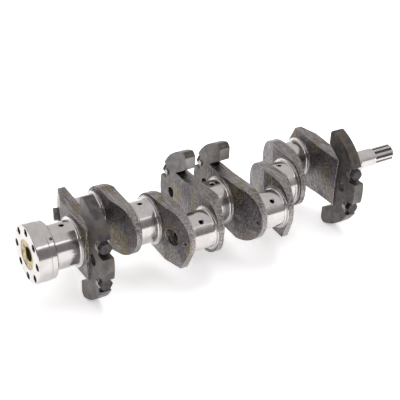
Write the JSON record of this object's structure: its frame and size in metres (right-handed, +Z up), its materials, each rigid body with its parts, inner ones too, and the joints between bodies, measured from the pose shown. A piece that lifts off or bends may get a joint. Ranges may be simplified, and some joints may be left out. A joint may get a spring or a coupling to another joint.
{
  "type": "crankshaft",
  "caption": "Four-cylinder engine crankshaft with five main journals, four crankpins, four bolted counterweights, a flywheel flange with a pilot bush and a splined nose.",
  "frame": {"origin": "centre of the flywheel flange's face, on the main bearing axis", "axes": "+X along the main bearing axis from the flange to the splined nose, the throws in the XY plane with crankpins 1 and 4 towards +Y, +Z up"},
  "size_m": [0.687, 0.19, 0.177],
  "materials": {
    "forged_steel": "satin",
    "weight_iron": "rough",
    "bolt_steel": "black oxide",
    "washer_steel": "satin",
    "plug_steel": "dull",
    "bronze": "satin"
  },
  "bodies": {
    "root": {"crankshaft_forging": "forged_steel", "pilot_bush": "bronze", "counterweight_1": "weight_iron", "counterweight_bolt_1_upper": "bolt_steel", "lock_washer_1_upper": "washer_steel", "counterweight_bolt_1_lower": "bolt_steel", "lock_washer_1_lower": "washer_steel", "counterweight_4": "weight_iron", "counterweight_bolt_4_upper": "bolt_steel", "lock_washer_4_upper": "washer_steel", "counterweight_bolt_4_lower": "bolt_steel", "lock_washer_4_lower": "washer_steel", "counterweight_5": "weight_iron", "counterweight_bolt_5_upper": "bolt_steel", "lock_washer_5_upper": "washer_steel", "counterweight_bolt_5_lower": "bolt_steel", "lock_washer_5_lower": "washer_steel", "counterweight_8": "weight_iron", "counterweight_bolt_8_upper": "bolt_steel", "lock_washer_8_upper": "washer_steel", "counterweight_bolt_8_lower": "bolt_steel", "lock_washer_8_lower": "washer_steel", "cavity_plug_1": "plug_steel", "drilling_plug_1": "plug_steel", "cavity_plug_2": "plug_steel", "drilling_plug_2": "plug_steel", "cavity_plug_3": "plug_steel", "drilling_plug_3": "plug_steel", "cavity_plug_4": "plug_steel", "drilling_plug_4": "plug_steel"}
  },
  "joints": []
}
